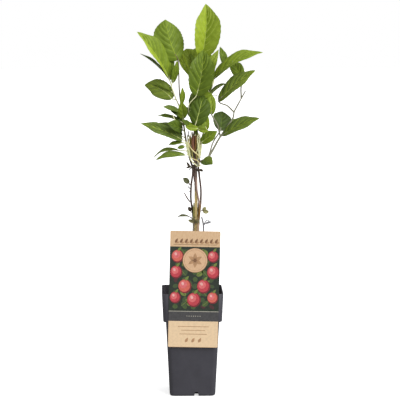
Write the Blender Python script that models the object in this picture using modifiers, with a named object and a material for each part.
"""Red kiwi vine, a young climber in a tall square nursery pot with a label card.

The vine is a straight woody stem with three thinner stems twined round it. They meet in a
knot and part again into leafy shoots. Every shoot is one solid: its stem, the leaf stalks and
the blades fused on it. The pot stands on its flat underside, whose middle is the origin.
Lengths in the tables are millimetres; +Z is up and -Y is the side with the label.
"""
import math
import random

import bmesh
import bpy
from mathutils import Matrix, Vector
from mathutils.bvhtree import BVHTree

MM = 0.001
GAP = 0.3  # clearance between neighbouring pieces

# Pot: a tall square shell with a wide collar
POT_HEIGHT = 191.5
RIM_WIDTH = 112.0
COLLAR_FOOT = 139.0  # height at which the collar steps out
COLLAR_LOW_WIDTH = 107.5
BODY_TOP_WIDTH = 97.5
BASE_WIDTH = 84.0
CORNER_RADIUS = 9.0
FOOT_ROUND = 4.0  # rounding of the edge round the underside
WALL = 1.3
NOTCH_WIDTH, NOTCH_HEIGHT, NOTCH_DEPTH = 11.0, 8.0, 22.0  # drain notch in every side
NOTCH_SHIFT = 7.0
DRAIN_HOLE_RADIUS, DRAIN_HOLE_PLACE = 3.5, 26.0
SOIL_TOP = 172.0
SOIL_FOOT = 9.5

# Label: an upright card in front of the collar, held by a tongue over the rim
CARD_WIDTH, CARD_HEIGHT, CARD_THICK = 90.5, 214.5, 0.9
CARD_MIDDLE_X, CARD_FOOT_Z = 0.0, 93.5
CARD_ROLL = 1.3  # degrees that it stands askew, to the right
CARD_CORNER = 2.0
TONGUE_WIDTH, TONGUE_DROP, TONGUE_THICK = 26.0, 12.0, 0.8

# Woody stems: rows of (x, y, z, radius), from the soil up
MAIN_STEM = (
    (7.0, 0, SOIL_TOP, 4.6), (7.1, 0, 178, 3.6), (7.2, 0, 190, 3.05), (7.2, 0, 280, 3.0),
    (7.2, 0, 376, 2.9), (6.3, 0, 422, 2.7), (5.0, 0, 452, 2.6), (7.0, 0, 486, 2.2),
    (9.6, 0, 520, 1.8), (10.6, 0, 530, 1.7),
)
LEFT_STEM = (
    (-7, 8, SOIL_TOP, 3.0), (-7, 8, 180, 2.4), (-4, 8, 220, 2.3), (0, 7, 262, 2.1),
    (2.6, 6.2, 303, 1.8), (1.3, 4, 333, 1.6), (-2.1, 0, 358, 1.5), (-1.6, -3.2, 385, 1.5),
    (1.2, -5, 413, 1.6), (-3.4, -5, 431, 1.7), (-6.0, -4.5, 438, 1.6),
)
RIGHT_STEM = (
    (19, 8, SOIL_TOP, 3.1), (19, 8, 180, 2.5), (16, 8, 220, 2.4), (13, 7, 262, 2.2),
    (11.6, 6.4, 303, 2.0), (13.4, 5.4, 330, 1.8), (15.8, 4, 352, 1.7), (16.2, 3, 376, 1.7),
    (13.2, 4.6, 403, 1.7), (11.6, 5.4, 418, 1.8), (14.2, 4.4, 437, 1.7),
)
MIDDLE_STEM = (
    (9, -9, SOIL_TOP, 2.9), (9, -9, 180, 2.3), (9, -8.6, 220, 2.2), (9, -8, 262, 2.1),
    (10.0, -7.4, 303, 2.0), (12.2, -7, 329, 1.8), (13.2, -6.2, 348, 1.6),
    (10.4, -6.2, 366, 1.6), (7.4, -6.6, 385, 1.7), (5.6, -6.7, 421, 1.7), (2.5, -6.4, 449, 1.6),
)

# How a leaf is drawn
ACROSS = 2  # facets over the width of a blade, one to each side of its midrib
ALONG_LARGE, ALONG_MIDDLE, ALONG_SMALL = 6, 5, 3  # facets over the length of a blade
LARGE_LEAF, SMALL_LEAF = 60.0, 25.0  # lengths that part the three sizes
BLADE_THICKNESS = 0.0115  # of the blade's length
BLADE_WIDTH = 0.52  # of its length
BLADE_FOLD = 18.0  # degrees that each half rises from the midrib
BLADE_BOW = 0.06  # arch of the midrib, of its length
STALK_LENGTH, STALK_RISE = 8.0, 45.0
STALK_RADIUS = 1.0
STALK_BULGE = 0.05  # of its length that it bends up and toward the stem
STALK_SINK = 0.16  # of the blade's length that the stalk runs on inside it
STALK_SIDES, TWIG_SIDES, STEM_SIDES = 4, 6, 8
TWIG_STEP, STEM_STEP = 10.0, 15.0  # spacing of the rings along a shoot and a woody stem


def leaf(at, heading, rise, length, roll=0.0, width=BLADE_WIDTH, stalk=STALK_LENGTH,
         lift=STALK_RISE, toward=None, bulge=STALK_BULGE, bow=BLADE_BOW, sway=0.0,
         fold=BLADE_FOLD):
    """One leaf: the height on the stem where its stalk starts, the compass heading of the
    blade (0 is +X, 90 is +Y, 270 is toward the label's side), its rise from level, its length,
    and the roll about its own axis from facing the label's side. The midrib arches by its bow
    and bends sideways by its sway, both as shares of the length. The stalk has a length, a lift,
    a bulge and, where it isn't the blade's, a heading of its own."""
    return dict(at=at, heading=heading, rise=rise, length=length, roll=roll, width=width,
                stalk=stalk, lift=lift, toward=heading if toward is None else toward,
                bulge=bulge, bow=bow, sway=sway, fold=fold)


def whorl(seed, heights, heading, swing, rises, lengths, stalk):
    """Leaves that follow a rule: they alternate to either side of a heading, lift and shorten
    toward the shoot's tip, and vary a little by the seed."""
    rng = random.Random(seed)
    rows = []
    count = len(heights)
    for i, at in enumerate(heights):
        share = i / max(1, count - 1)
        side = 1 if i % 2 else -1
        rows.append(leaf(
            at,
            heading + side * swing * (1.0 - 0.45 * share) + rng.uniform(-6, 6),
            rises[0] + (rises[1] - rises[0]) * share + rng.uniform(-4, 4),
            lengths[0] + (lengths[1] - lengths[0]) * share + rng.uniform(-4, 4),
            roll=None, stalk=stalk * (1 - 0.4 * share), width=0.48 + rng.uniform(-0.03, 0.03),
            lift=55, bow=0.1))
    return rows


# Leafy shoots: the stem as rows of (x, y, z, radius), and its leaves
SHOOTS = {
    "left_shoot": dict(
        stem=((-6.3, -4.4, 438.7, 1.7), (-10.4, -3.8, 462, 1.8), (-14, -2.6, 486, 1.5),
              (-17.6, -1.4, 510, 1.4), (-23.8, -1, 530, 1.3), (-31, -2, 547, 1.2),
              (-38.3, -2, 569, 1.1), (-41.5, -2, 579, 1.0)),
        leaves=[
            leaf(441, 184, -9, 55, roll=64, stalk=6, lift=-8, toward=200, bow=0.1, width=0.4),
            leaf(447, 168, -19, 50, roll=74, stalk=19, lift=4, toward=156, bow=0.16, width=0.32),
            leaf(455, 200, -12, 15, roll=20, stalk=5, lift=15, width=0.55),
            leaf(460, 190, -9, 27, roll=50, stalk=8, lift=26, width=0.42),
            leaf(464, 194, 22, 84, roll=40, stalk=8, lift=30, width=0.31, bow=0.05),
            leaf(470, 150, 18, 66, roll=None, stalk=10, lift=30, width=0.5, bow=0.1),
            leaf(480, 222, 20, 40, roll=30, stalk=9, lift=50, width=0.55),
            leaf(498, 173, 14, 42, roll=72, stalk=8, lift=30, width=0.5),
            leaf(500, 262, 50, 44, roll=8, stalk=8, lift=60, width=0.42),
            leaf(515, 205, 16, 35, roll=50, stalk=6, lift=45, width=0.42),
            leaf(526, 280, 73, 34, roll=30, stalk=7, lift=56, toward=310, width=0.34),
            leaf(541, 165, 25, 58, roll=0, stalk=8, lift=10, width=0.6, sway=0.12),
            leaf(553, 150, 8, 50, roll=None, stalk=6, lift=30, width=0.52, bow=0.1),
            leaf(500, 143, 69, 79, roll=14, stalk=113, lift=85, toward=190, bulge=-0.02,
                 width=0.73, sway=-0.09),
            leaf(566, 316, 74, 42, roll=24, stalk=6, lift=70, width=0.32),
            leaf(574, 100, 76, 62, roll=0, stalk=3, lift=60, width=0.32),
            leaf(578, 172, 41, 68, roll=82, stalk=3, lift=40, width=0.42),
            leaf(579, 199, 54, 101, roll=52, stalk=4, lift=60, width=0.48, fold=32),
        ]),
    "front_shoot": dict(
        stem=((2.4, -6.5, 449.7, 1.8), (1.0, -6.9, 461, 2.3), (2.2, -8.2, 474, 1.8),
              (4.2, -11, 484, 1.4), (5, -17, 492, 1.2)),
        leaves=[
            leaf(491, 50, 68, 60, roll=-14, stalk=7, lift=37, toward=274, width=0.66, bow=0.12,
                 sway=0.04),
            leaf(484, 200, 40, 28, roll=40, stalk=5, lift=45, width=0.5),
            leaf(491, 190, 8, 24, roll=0, stalk=8, lift=-7, toward=313, width=0.5),
            leaf(491, 345, -8, 20, roll=10, stalk=9, lift=-14, toward=310, width=0.5),
            leaf(475, 50, 82, 17, roll=0, stalk=4, lift=30, toward=350, width=0.5),
            leaf(486, 40, 78, 25, roll=0, stalk=6, lift=20, toward=335, width=0.54),
            leaf(484, 19, 81, 84, roll=0, stalk=65, lift=87, toward=340, bulge=0.2, width=0.58,
                 sway=0.04),
        ]),
    "top_shoot": dict(
        stem=((10.7, 0, 530.7, 1.6), (12.7, 0, 550, 1.5), (15, 1, 580, 1.3),
              (16.3, 2, 607, 1.1)),
        leaves=[
            leaf(548, 18, 66, 86, roll=-24, stalk=6, lift=60, width=0.28),
            leaf(541, 340, 16, 21, roll=-40, stalk=7, lift=40, width=0.7),
            leaf(556, 135, 64, 57, roll=8, stalk=29, lift=63, toward=116, width=0.56),
            leaf(556, 146, 60, 64, roll=-30, stalk=30, lift=60, toward=149, width=0.24),
            leaf(572, 82, 46, 70, roll=None, stalk=14, lift=50, width=0.54, bow=0.1),
            leaf(585, 100, 44, 60, roll=None, stalk=8, lift=60, width=0.5, bow=0.1),
            leaf(606, 27, 85, 97, roll=10, stalk=12, lift=84, toward=5, width=0.52, bow=0.03, sway=0.04),
        ]),
    "right_shoot": dict(
        stem=((14.4, 4.2, 437.7, 1.7), (16, 3, 462, 1.6), (21.6, 2, 484, 1.5),
              (26, 3, 513, 1.4), (32.4, 5, 550, 1.2), (37.5, 5, 568, 1.0)),
        leaves=[
            leaf(460, 340, 35, 38, roll=-14, stalk=8, lift=21, toward=274, width=0.55),
            leaf(545, 354, -6, 12, roll=-80, stalk=6, lift=40, width=0.45),
            leaf(546, 343, 36, 36, roll=-84, stalk=4, lift=50, width=0.4),
            leaf(550, 110, 34, 56, roll=None, stalk=8, lift=50, width=0.5, bow=0.1),
            leaf(564, 135, 70, 42, roll=24, stalk=43, lift=51, toward=20, bulge=0.12, width=0.36),
            leaf(567, 354, 28.5, 101, roll=-52, stalk=12, lift=76, width=0.33, bow=0.13, fold=28),
            leaf(478, 166, 73, 43, roll=0, stalk=14, lift=36, toward=304, width=0.48),
        ]),
    "right_lower_shoot": dict(
        stem=((9.4, -1.9, 427, 1.6), (16, -6, 429, 1.5), (24, -5, 432, 1.4), (31, -3, 438, 1.4),
              (50, 0, 471, 1.2), (64, 4, 491, 1.1), (75, 6, 507.5, 1.0), (77.4, 6, 519, 0.9),
              (84, 5, 532, 0.9), (90, 4, 543, 0.8), (97.6, 3, 557, 0.7)),
        leaves=[
            leaf(429.5, 300, -10, 34, roll=-30, stalk=5, lift=30, width=0.66),
            leaf(473, 347, 25, 76, roll=-52, stalk=5, lift=35, width=0.43),
            leaf(437, 79, 53, 43, roll=12, stalk=52, lift=65, toward=14, width=0.88),
            leaf(485, 42, 12, 62, roll=None, stalk=6, lift=30, width=0.52, bow=0.1),
            leaf(518, 352, 40, 88, roll=-52, stalk=35, lift=35, toward=186, width=0.42),
            leaf(543, 126, 51, 46, roll=10, stalk=33, lift=87, toward=40, width=0.54),
            leaf(474, 110, 81, 40, roll=8, stalk=45, lift=64, toward=213, width=0.44),
        ]),
    "back_shoot": dict(
        stem=((5.2, 4.4, 469, 1.6), (7, 12, 477, 1.5), (8, 24, 494, 1.3), (8, 34, 515, 1.1)),
        leaves=whorl(11, (486, 492, 498, 504, 509, 515), 84, 11, (12, 36), (78, 60), 10)),
    "back_upper_shoot": dict(
        stem=((8.8, 3.2, 505, 1.5), (12, 13, 514, 1.4), (16, 20, 537, 1.2), (17, 25, 562, 1.0)),
        leaves=whorl(5, (522, 530, 539, 548), 88, 13, (30, 44), (62, 50), 9)),
    "knot_tendril": dict(
        stem=((9.3, -2.1, 411, 0.9), (12, -7, 413.5, 0.9), (6, -11.5, 415, 0.9),
              (-2, -9.5, 417.5, 0.8)),
        leaves=[
            leaf(417.3, 190, -10, 9, stalk=2, width=0.45, roll=40),
            leaf(417, 200, 30, 10, stalk=2, width=0.4, roll=20),
            leaf(415.5, 250, 40, 12, stalk=2, width=0.6, roll=10),
            leaf(412.5, 335, -20, 9, stalk=2, width=0.6, roll=-20),
            leaf(416, 190, -34, 10, stalk=3, width=0.3, roll=60),
            leaf(417.2, 178, 52, 13, stalk=2, width=0.35, roll=-30),
        ]),
    "twining_stalk": dict(
        stem=((13.4, 2.6, 432, 0.7), (12.5, -3, 434.5, 0.9), (10.7, -8, 440.5, 0.95),
              (5.2, -9.8, 445, 0.95), (-0.7, -8.5, 451, 0.95), (-5.4, -6, 458, 0.9),
              (-6.2, -4.5, 466.5, 0.8), (-3.1, -3.6, 473.5, 0.7), (-1.5, -6, 482, 0.6)), leaves=[]),
    "knot_stalk_right": dict(
        stem=((7.3, -3.0, 443, 0.6), (9.6, -4.4, 450, 0.9), (10.8, -4.8, 457, 1.0),
              (9.9, -4.8, 465, 1.0), (9.4, -5, 472, 0.8), (11.6, -5, 480, 0.6)), leaves=[]),
    "knot_stalk_low": dict(
        stem=((-4.4, -7.4, 435.3, 0.6), (1.4, -9.8, 427, 0.95), (6, -9.6, 423.3, 0.95),
              (10.7, -6.3, 419.5, 0.95), (16, -4, 422.5, 0.7)), leaves=[]),
    "knot_stalk_high": dict(
        stem=((-3.1, -4.9, 436, 0.6), (0, -8, 434.5, 0.8), (3.1, -9.6, 433, 0.8),
              (9, -9, 430.7, 0.8), (12.9, -8, 426, 0.8), (12.4, -9.5, 420.5, 0.6)), leaves=[]),
    "sprig_oval_leaf": dict(
        stem=((-3.85, -3.6, 385, 0.8), (-5.0, -4.0, 388, 0.7)),
        leaves=[leaf(388, 192, 42, 13.5, roll=10, width=0.62, stalk=1)]),
    "sprig_twig": dict(
        stem=((-4.3, 0.3, 354, 0.9), (-9.6, -1, 362, 0.9), (-14.5, -1, 371, 0.7)), leaves=[]),
    "sprig_bud": dict(
        stem=((-1.1, 3.2, 334, 0.9), (-2.0, 2.4, 335.5, 0.8)),
        leaves=[leaf(335.5, 200, 66, 10, roll=0, width=0.7, stalk=1)]),
    "sprig_narrow_leaf": dict(
        stem=((-0.4, 4.6, 323, 0.9), (-2.2, 4, 324.5, 0.8)),
        leaves=[leaf(324.5, 182, -2, 23, roll=70, width=0.42, stalk=3, lift=25, bow=0.12)]),
    "sprig_right_leaf": dict(
        stem=((16.6, 4.5, 336, 0.9), (18, 3.6, 337.5, 0.8)),
        leaves=[leaf(337.5, 350, 34, 9, roll=0, width=0.75, stalk=1.5, lift=40),
                leaf(337.5, 352, -12, 12, roll=10, width=0.72, stalk=1.5, lift=-14)]),
    "sprig_grey_twig": dict(
        stem=((15.4, 6.4, 274, 0.9), (19, 5, 282, 0.9), (21.2, 4, 300, 0.9), (20.4, 4, 314, 0.9),
              (17.5, 4, 326, 0.7)),
        leaves=[leaf(309, 5, 16, 13, roll=-30, width=0.35, stalk=5, lift=50)]),
    "sprig_low_leaves": dict(
        stem=((4.9, -2.85, 313, 0.9), (4.4, -6.5, 315, 0.8)),
        leaves=[leaf(315, 200, 25, 13, roll=20, width=0.5, stalk=2),
                leaf(315, 245, 62, 13, roll=-10, width=0.6, stalk=1.5),
                leaf(314.7, 330, 30, 11, roll=0, width=0.6, stalk=2)]),
}

COLOURS = {  # base colour, roughness
    "pot": ((0.066, 0.068, 0.078, 1), 0.5),
    "potting_soil": ((0.045, 0.030, 0.020, 1), 0.95),
    "label_card": ((0.70, 0.50, 0.30, 1), 0.75),
    "main_stem": ((0.46, 0.34, 0.17, 1), 0.7),
    "left_stem": ((0.17, 0.085, 0.055, 1), 0.7),
    "right_stem": ((0.14, 0.065, 0.050, 1), 0.7),
    "middle_stem": ((0.24, 0.12, 0.09, 1), 0.7),
    "left_shoot": ((0.21, 0.34, 0.06, 1), 0.5),
    "front_shoot": ((0.13, 0.25, 0.04, 1), 0.5),
    "top_shoot": ((0.25, 0.40, 0.07, 1), 0.5),
    "right_shoot": ((0.17, 0.29, 0.05, 1), 0.5),
    "right_lower_shoot": ((0.12, 0.22, 0.045, 1), 0.5),
    "back_shoot": ((0.12, 0.22, 0.045, 1), 0.5),
    "back_upper_shoot": ((0.16, 0.28, 0.05, 1), 0.5),
    "knot_tendril": ((0.07, 0.06, 0.03, 1), 0.8),
    "twining_stalk": ((0.55, 0.50, 0.27, 1), 0.6),
    "knot_stalk_right": ((0.55, 0.50, 0.27, 1), 0.6),
    "knot_stalk_low": ((0.55, 0.50, 0.27, 1), 0.6),
    "knot_stalk_high": ((0.55, 0.50, 0.27, 1), 0.6),
}
SPRIG_COLOUR = ((0.15, 0.21, 0.07, 1), 0.6)


# Scene, materials and small helpers
for old in list(bpy.data.objects):
    bpy.data.objects.remove(old, do_unlink=True)

parts = bpy.data.collections.new("potted_red_kiwi_vine")
cutters = bpy.data.collections.new("cutters")
for group in (parts, cutters):
    bpy.context.scene.collection.children.link(group)


def material_for(name):
    colour, roughness = COLOURS.get(name, SPRIG_COLOUR)
    mat = bpy.data.materials.new(name)
    mat.use_nodes = True
    bsdf = mat.node_tree.nodes["Principled BSDF"]
    bsdf.inputs["Base Color"].default_value = colour
    bsdf.inputs["Roughness"].default_value = roughness
    bsdf.inputs["Metallic"].default_value = 0.0
    return mat


def new_object(name, data, group=parts, coloured=True):
    ob = bpy.data.objects.new(name, data)
    group.objects.link(ob)
    if coloured:
        data.materials.append(material_for(name))
    return ob


def evaluated_mesh(ob):
    bpy.context.view_layer.update()
    return bpy.data.meshes.new_from_object(ob.evaluated_get(bpy.context.evaluated_depsgraph_get()))


def apply_modifiers(ob):
    mesh = evaluated_mesh(ob)
    ob.modifiers.clear()
    ob.data = mesh


def remove_all(group):
    for ob in list(group.objects):
        bpy.data.objects.remove(ob, do_unlink=True)
    bpy.data.collections.remove(group)


def direction(heading, rise):
    h, r = math.radians(heading), math.radians(rise)
    return Vector((math.cos(h) * math.cos(r), math.sin(h) * math.cos(r), math.sin(r)))


def smooth_path(rows, step):
    """Rows of (x, y, z, radius) read as one smooth line, with a point every step or so."""
    points = [Vector(row[:3]) for row in rows]
    radii = [row[3] for row in rows]
    out = []
    for i in range(len(points) - 1):
        before = points[max(0, i - 1)]
        after = points[min(len(points) - 1, i + 2)]
        a, b = points[i], points[i + 1]
        reach = (b - a).length
        out_a = (b - before).normalized() * reach if i else b - a
        in_b = (after - a).normalized() * reach if i < len(points) - 2 else b - a
        count = max(1, round(reach / step))
        for j in range(count):
            t = j / count
            h1, h2 = 2 * t**3 - 3 * t**2 + 1, t**3 - 2 * t**2 + t
            h3, h4 = 3 * t**2 - 2 * t**3, t**3 - t**2
            radius = radii[i] + (radii[i + 1] - radii[i]) * t
            out.append((a * h1 + out_a * h2 + b * h3 + in_b * h4, radius))
    out.append((points[-1], radii[-1]))
    return out


def tube_curve(name, path, sides):
    """A bevelled line with closed ends, through (point, radius) pairs in millimetres."""
    curve = bpy.data.curves.new(name, "CURVE")
    curve.dimensions = "3D"
    curve.bevel_depth = MM
    curve.bevel_resolution = max(0, (sides - 4) // 2)
    curve.use_fill_caps = True
    line = curve.splines.new("POLY")
    line.points.add(len(path) - 1)
    for point, (place, radius) in zip(line.points, path):
        point.co = (*(place * MM), 1.0)
        point.radius = radius
    return curve


def tube_mesh(name, path, sides):
    """The same tube as one closed mesh, so that it can be fused."""
    guide = new_object(name, tube_curve(name, path, sides), coloured=False)
    mesh = evaluated_mesh(guide)
    bpy.data.objects.remove(guide, do_unlink=True)
    bm = bmesh.new()
    bm.from_mesh(mesh)
    bmesh.ops.remove_doubles(bm, verts=bm.verts, dist=MM * 0.01)
    bm.to_mesh(mesh)
    bm.free()
    return mesh


# The pot
def rounded_square(bm, half, radius, height, turns=4):
    """A ring of points: a square with round corners at a height."""
    ring = []
    for corner in range(4):
        turn = math.pi / 2 * corner
        centre = Matrix.Rotation(turn, 3, "Z") @ Vector((half - radius, half - radius, 0))
        for i in range(turns + 1):
            angle = turn + math.pi / 2 * i / turns
            place = centre + Vector((math.cos(angle), math.sin(angle), 0)) * radius
            ring.append(bm.verts.new((place.x * MM, place.y * MM, height * MM)))
    return ring


def box_object(name, size, centre, group=parts, turn=0.0, top_width=None):
    bm = bmesh.new()
    bmesh.ops.create_cube(bm, size=1.0)
    for v in bm.verts:
        narrow = top_width / size[0] if top_width and v.co.z > 0 else 1.0
        v.co = Vector((v.co.x * size[0] * narrow, v.co.y * size[1], v.co.z * size[2])) * MM
    bmesh.ops.translate(bm, verts=bm.verts, vec=Vector(centre) * MM)
    bmesh.ops.rotate(bm, verts=bm.verts, cent=(0, 0, 0), matrix=Matrix.Rotation(turn, 3, "Z"))
    mesh = bpy.data.meshes.new(name)
    bm.to_mesh(mesh)
    bm.free()
    return new_object(name, mesh, group, coloured=False)


def square_loft(name, sections, group=parts, turns=4, coloured=True):
    """A closed body skinned through square rings of (half width, corner radius, height)."""
    bm = bmesh.new()
    rings = [rounded_square(bm, *section, turns=turns) for section in sections]
    for low, high in zip(rings, rings[1:]):
        for i in range(len(low)):
            j = (i + 1) % len(low)
            bm.faces.new((low[i], low[j], high[j], high[i]))
    bm.faces.new(list(reversed(rings[0])))
    bm.faces.new(rings[-1])
    mesh = bpy.data.meshes.new(name)
    bm.to_mesh(mesh)
    bm.free()
    return new_object(name, mesh, group, coloured)


def half_width(height):
    """Half the outer width of the pot at a height."""
    if height < COLLAR_FOOT:
        share = (height - FOOT_ROUND) / (COLLAR_FOOT - FOOT_ROUND)
        return (BASE_WIDTH + (BODY_TOP_WIDTH - BASE_WIDTH) * share) / 2
    share = (height - COLLAR_FOOT) / (POT_HEIGHT - COLLAR_FOOT)
    return (COLLAR_LOW_WIDTH + (RIM_WIDTH - COLLAR_LOW_WIDTH) * share) / 2


def filling(inset, foot, top):
    """Sections of the pot's inside, an inset from its outer faces."""
    radius = CORNER_RADIUS - inset
    step = COLLAR_FOOT + inset  # where the inside widens into the collar
    return (
        (half_width(foot) - inset, radius, foot),
        (half_width(COLLAR_FOOT - 0.01) - inset, radius, step + 0.6),
        (half_width(step + 3.6) - inset, radius, step + 3.6),
        (half_width(top) - inset, radius, top),
    )


def drain_notches(label, grow, group):
    """A tapered block across the foot of every side wall, grown by a wall on demand."""
    for side in range(4):
        width = NOTCH_WIDTH + 2 * grow
        notch = box_object(
            f"{label}_{side}", (width, (NOTCH_DEPTH + grow) * 2, (NOTCH_HEIGHT + grow) * 2),
            (NOTCH_SHIFT, -BASE_WIDTH / 2, 0), group, math.pi / 2 * side, width * 0.5)
        notch.hide_render, notch.display_type = True, "WIRE"


def build_pot():
    half_base, half_body = BASE_WIDTH / 2, BODY_TOP_WIDTH / 2
    half_low, half_top = COLLAR_LOW_WIDTH / 2, RIM_WIDTH / 2
    rounding = FOOT_ROUND * (1 - math.sqrt(0.5))
    pot = square_loft("pot", (
        (half_base - FOOT_ROUND, CORNER_RADIUS - FOOT_ROUND, 0),
        (half_base - rounding, CORNER_RADIUS - rounding, rounding),
        (half_base, CORNER_RADIUS, FOOT_ROUND),
        (half_body, CORNER_RADIUS, COLLAR_FOOT - 1.2),
        (half_body + 0.9, CORNER_RADIUS, COLLAR_FOOT - 0.2),
        (half_low - 0.9, CORNER_RADIUS, COLLAR_FOOT + 0.4),
        (half_low, CORNER_RADIUS, COLLAR_FOOT + 2.4),
        (half_top, CORNER_RADIUS, POT_HEIGHT),
    ))
    cavity = square_loft("cavity", filling(WALL, WALL, POT_HEIGHT + 4), cutters, coloured=False)
    ridges = bpy.data.collections.new("ridges")
    bpy.context.scene.collection.children.link(ridges)
    drain_notches("ridge", WALL, ridges)
    keep = cavity.modifiers.new("ridges", "BOOLEAN")
    keep.operation, keep.operand_type, keep.collection = "DIFFERENCE", "COLLECTION", ridges
    apply_modifiers(cavity)
    remove_all(ridges)
    cavity.hide_render, cavity.display_type = True, "WIRE"
    drain_notches("drain_notch", 0.0, cutters)
    for side in range(4):
        angle = math.pi / 4 + math.pi / 2 * side
        bm = bmesh.new()
        bmesh.ops.create_cone(bm, cap_ends=True, segments=12, radius1=DRAIN_HOLE_RADIUS * MM,
                              radius2=DRAIN_HOLE_RADIUS * MM, depth=WALL * 4 * MM)
        place = Vector((math.cos(angle), math.sin(angle), 0)) * DRAIN_HOLE_PLACE * math.sqrt(2)
        bmesh.ops.translate(bm, verts=bm.verts, vec=place * MM)
        mesh = bpy.data.meshes.new(f"drain_hole_{side}")
        bm.to_mesh(mesh)
        bm.free()
        hole = new_object(mesh.name, mesh, cutters, coloured=False)
        hole.hide_render, hole.display_type = True, "WIRE"
    cut = pot.modifiers.new("hollow", "BOOLEAN")
    cut.operation, cut.operand_type, cut.collection = "DIFFERENCE", "COLLECTION", cutters
    apply_modifiers(pot)
    return pot


def build_soil():
    """The root ball: a block that fills the pot, a clearance inside its wall."""
    sections = filling(WALL + GAP + 0.05, SOIL_FOOT, SOIL_TOP - 1.0)
    half, radius, _ = sections[-1]
    return square_loft("potting_soil", (*sections, (half - 3.0, radius - 2.0, SOIL_TOP)))


def build_label():
    """The card leans with the collar's slope; its tongue hooks over the rim behind it."""
    slope = math.atan2((RIM_WIDTH - COLLAR_LOW_WIDTH) / 2, POT_HEIGHT - COLLAR_FOOT)
    back_y = -RIM_WIDTH / 2 - GAP / math.cos(slope)  # the card's back at the rim's height
    foot_y = back_y + math.tan(slope) * (POT_HEIGHT - CARD_FOOT_Z)
    card = box_object("label_card", (CARD_WIDTH, CARD_THICK, CARD_HEIGHT),
                      (0, -CARD_THICK / 2, CARD_HEIGHT / 2))
    bm = bmesh.new()
    bm.from_mesh(card.data)
    corners = [e for e in bm.edges if abs((e.verts[0].co - e.verts[1].co).normalized().y) > 0.9]
    bmesh.ops.bevel(bm, geom=corners, offset=CARD_CORNER * MM, segments=2, profile=0.5,
                    affect="EDGES")
    pose = (Matrix.Translation(Vector((CARD_MIDDLE_X, foot_y, CARD_FOOT_Z)) * MM)
            @ Matrix.Rotation(slope, 4, "X")
            @ Matrix.Rotation(math.radians(CARD_ROLL), 4, "Y"))
    bmesh.ops.transform(bm, matrix=pose, verts=bm.verts)
    bm.to_mesh(card.data)
    bm.free()
    pieces = bpy.data.collections.new("label_pieces")
    bpy.context.scene.collection.children.link(pieces)
    inner_y = -RIM_WIDTH / 2 + WALL + 1.0
    bar_height = POT_HEIGHT + GAP + 0.1
    bar_start = back_y - CARD_THICK / 2
    box_object("tongue_bar", (TONGUE_WIDTH, inner_y + TONGUE_THICK - bar_start, TONGUE_THICK),
               (CARD_MIDDLE_X, (inner_y + TONGUE_THICK + bar_start) / 2,
                bar_height + TONGUE_THICK / 2), pieces)
    box_object("tongue_drop", (TONGUE_WIDTH - 4, TONGUE_THICK, TONGUE_DROP),
               (CARD_MIDDLE_X, inner_y + TONGUE_THICK / 2,
                bar_height + TONGUE_THICK / 2 - TONGUE_DROP / 2), pieces)
    join = card.modifiers.new("tongue", "BOOLEAN")
    join.operation, join.operand_type, join.collection = "UNION", "COLLECTION", pieces
    apply_modifiers(card)
    remove_all(pieces)
    card.data.materials.clear()
    card.data.materials.append(material_for("label_card"))
    return card


# The plant
def blade_share(t):
    """Half width of a blade along its length, from 0 at its base to 0 at its pointed tip."""
    return 2 * math.sqrt(t * (1 - t)) if t < 0.5 else 1 - (2 * t - 1) ** 2.2


def blade_frame(row, base):
    """The midrib of a leaf as a function of its share, and the side and face it is drawn by."""
    along = direction(row["heading"], row["rise"])
    if row["roll"] is None:  # the upper face turns to the sky
        face = Vector((0, 0, 1)) - along * along.z
        face.normalize()
    else:
        front = Vector((0, -1, 0)) + along * along.y
        front.normalize()
        roll = math.radians(row["roll"])
        face = front * math.cos(roll) + along.cross(front) * math.sin(roll)
    length = row["length"]
    bend = face * row["bow"] + along.cross(face) * row["sway"]

    def at(t):
        place = base + along * (length * t) + bend * (length * 4 * t * (1 - t))
        run = (along + bend * (4 * (1 - 2 * t))).normalized()
        side = run.cross(face).normalized()
        return place, run, side, side.cross(run)

    return at


def blade_mesh(name, row, base):
    """A folded, arched sheet in the leaf's outline, given a thickness."""
    at = blade_frame(row, base)
    length, fold = row["length"], math.radians(row["fold"])
    facets = ALONG_LARGE if length > LARGE_LEAF else ALONG_MIDDLE
    if length < SMALL_LEAF:
        facets = ALONG_SMALL
    bm = bmesh.new()
    bmesh.ops.create_grid(bm, x_segments=ACROSS, y_segments=facets, size=1.0)
    for v in bm.verts:
        s, t = v.co.x, 0.5 - 0.5 * math.cos(math.pi * (v.co.y + 1) / 2)
        place, run, side, face = at(t)
        half = row["width"] * length / 2 * blade_share(t)
        rise = abs(s) * math.sin(fold) - 0.10 * s * s
        v.co = (place + side * (s * half * math.cos(fold)) + face * (half * rise)) * MM
    bmesh.ops.remove_doubles(bm, verts=bm.verts, dist=MM * 0.01)
    mesh = bpy.data.meshes.new(name)
    bm.to_mesh(mesh)
    bm.free()
    sheet = new_object(name, mesh, coloured=False)
    body = sheet.modifiers.new("thickness", "SOLIDIFY")
    body.thickness, body.offset = length * BLADE_THICKNESS * MM, 0.0
    solid = evaluated_mesh(sheet)
    bpy.data.objects.remove(sheet, do_unlink=True)
    return solid


def stalk_path(row, start, base):
    """From the stem's middle to the blade's base and on inside the blade's midrib."""
    at = blade_frame(row, base)
    bulge = (Vector((0, 0, 1)) - direction(row["toward"], 0)) * row["bulge"]
    middle = (start + base) / 2 + bulge * row["stalk"]
    radius = STALK_RADIUS * (1.0 if row["length"] > SMALL_LEAF else 0.7)
    return [(start, radius), (middle, radius * 0.92), (base, radius * 0.85),
            (at(STALK_SINK)[0], radius * 0.6)]


def place_at_height(path, height):
    """The point of a stem's path at a height."""
    for (a, _), (b, _) in zip(path, path[1:]):
        if (a.z - height) * (b.z - height) <= 0 and abs(b.z - a.z) > 1e-6:
            return a.lerp(b, (height - a.z) / (b.z - a.z))
    return path[-1][0].copy()


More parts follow.
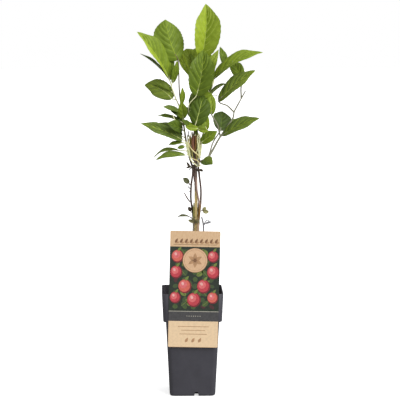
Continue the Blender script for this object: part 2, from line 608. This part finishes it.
def tree_of(mesh, swell=0.0):
    """A search tree of a mesh, moved out along its normals by a swell in millimetres."""
    places = [v.co + v.normal * (swell * MM) for v in mesh.vertices]
    return BVHTree.FromPolygons(places, [tuple(p.vertices) for p in mesh.polygons])


def is_clear(mesh, trees):
    swollen = tree_of(mesh, GAP)
    return not any(swollen.overlap(tree) for tree in trees)


def build_shoot(name, plan, trees):
    """A leafy shoot: its stem with every leaf that stays clear of what stands already."""
    path = smooth_path(plan["stem"], TWIG_STEP)
    stem = new_object(name, tube_mesh(name, path, TWIG_SIDES))
    pieces = bpy.data.collections.new(name + "_leaves")
    bpy.context.scene.collection.children.link(pieces)
    kept = 0
    for i, row in enumerate(plan["leaves"]):
        start = place_at_height(path, row["at"])
        base = start + direction(row["toward"], row["lift"]) * row["stalk"]
        blade = blade_mesh(f"{name}_blade_{i}", row, base)
        stalk = tube_mesh(f"{name}_stalk_{i}", stalk_path(row, start, base), STALK_SIDES)
        if not (is_clear(blade, trees) and is_clear(stalk, trees)):
            print("left out", name, i)
            continue
        kept += 1
        for mesh in (blade, stalk):
            new_object(mesh.name, mesh, pieces, coloured=False)
    if kept:
        join = stem.modifiers.new("leaves", "BOOLEAN")
        join.operation, join.operand_type, join.collection = "UNION", "COLLECTION", pieces
        apply_modifiers(stem)
    remove_all(pieces)
    stem.data.materials.clear()
    stem.data.materials.append(material_for(name))
    return stem


build_pot()
build_soil()
build_label()
for stem_name, rows in (("main_stem", MAIN_STEM), ("left_stem", LEFT_STEM),
                        ("right_stem", RIGHT_STEM), ("middle_stem", MIDDLE_STEM)):
    raised = [(*row[:2], row[2] + (GAP if i == 0 else 0), row[3]) for i, row in enumerate(rows)]
    new_object(stem_name, tube_curve(stem_name, smooth_path(raised, STEM_STEP), STEM_SIDES))

standing = [tree_of(evaluated_mesh(ob)) for ob in parts.objects]
for shoot_name, shoot_plan in SHOOTS.items():
    shoot = build_shoot(shoot_name, shoot_plan, standing)
    standing.append(tree_of(shoot.data))
